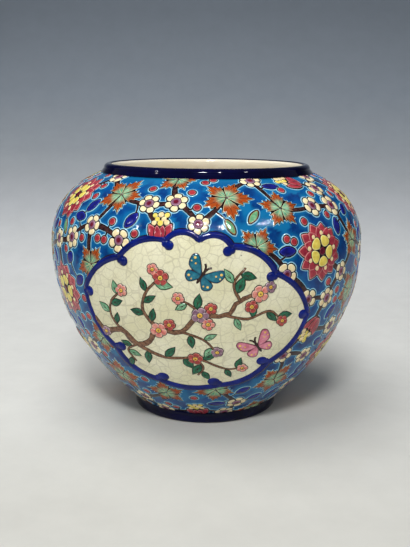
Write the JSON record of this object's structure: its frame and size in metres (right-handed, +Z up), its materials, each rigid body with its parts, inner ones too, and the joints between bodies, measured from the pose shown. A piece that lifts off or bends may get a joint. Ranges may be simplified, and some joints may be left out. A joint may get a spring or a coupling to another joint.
{
  "type": "ball vase",
  "caption": "Squat globular vase with a low collar and foot ring, lobed picture panels front and back, and raised enamel flowers all over.",
  "frame": {"origin": "centre of the foot ring's resting face", "axes": "+Z up along the vase's axis, -Y towards the middle of the front panel, +X to the viewer's right"},
  "size_m": [0.2524, 0.2518, 0.2],
  "materials": {
    "clay": "unglazed buff earthenware, matt",
    "cream_glaze": "smooth glossy cream glaze",
    "navy_glaze": "very glossy near-black cobalt glaze",
    "blue_enamel": "glossy turquoise-blue enamel, pooled and uneven",
    "crackle_glaze": "glossy cream glaze with a fine grey-brown crackle",
    "cobalt_enamel": "glossy raised cobalt enamel",
    "flower_enamel": "glossy raised enamel, red, yellow and cream",
    "leaf_enamel": "glossy raised enamel, mint green to rust",
    "branch_enamel": "raised brown enamel with pink and yellow blossoms",
    "teal_enamel": "raised navy and teal enamel",
    "rose_enamel": "raised rose and ochre enamel"
  },
  "bodies": {
    "root": {"clay_body": "clay", "lining_glaze": "cream_glaze", "base_glaze": "cream_glaze", "rim_band": "navy_glaze", "foot_band": "navy_glaze", "ground_enamel": "blue_enamel", "front_panel": "crackle_glaze", "front_panel_frame": "cobalt_enamel", "front_panel_branch": "branch_enamel", "front_teal_butterfly": "teal_enamel", "front_rose_butterfly": "rose_enamel", "front_flower_1": "flower_enamel", "front_flower_2": "flower_enamel", "front_flower_3": "flower_enamel", "front_flower_4": "flower_enamel", "front_flower_5": "flower_enamel", "front_flower_6": "flower_enamel", "front_flower_7": "flower_enamel", "front_leaf_1": "leaf_enamel", "front_leaf_2": "leaf_enamel", "front_leaf_3": "leaf_enamel", "front_leaf_4": "leaf_enamel", "front_leaf_5": "leaf_enamel", "front_leaf_6": "leaf_enamel", "front_leaf_7": "leaf_enamel", "back_panel": "crackle_glaze", "back_panel_frame": "cobalt_enamel", "back_panel_branch": "branch_enamel", "back_teal_butterfly": "teal_enamel", "back_rose_butterfly": "rose_enamel", "back_flower_1": "flower_enamel", "back_flower_2": "flower_enamel", "back_flower_3": "flower_enamel", "back_flower_4": "flower_enamel", "back_flower_5": "flower_enamel", "back_flower_6": "flower_enamel", "back_flower_7": "flower_enamel", "back_leaf_1": "leaf_enamel", "back_leaf_2": "leaf_enamel", "back_leaf_3": "leaf_enamel", "back_leaf_4": "leaf_enamel", "back_leaf_5": "leaf_enamel", "back_leaf_6": "leaf_enamel", "back_leaf_7": "leaf_enamel"}
  },
  "joints": []
}
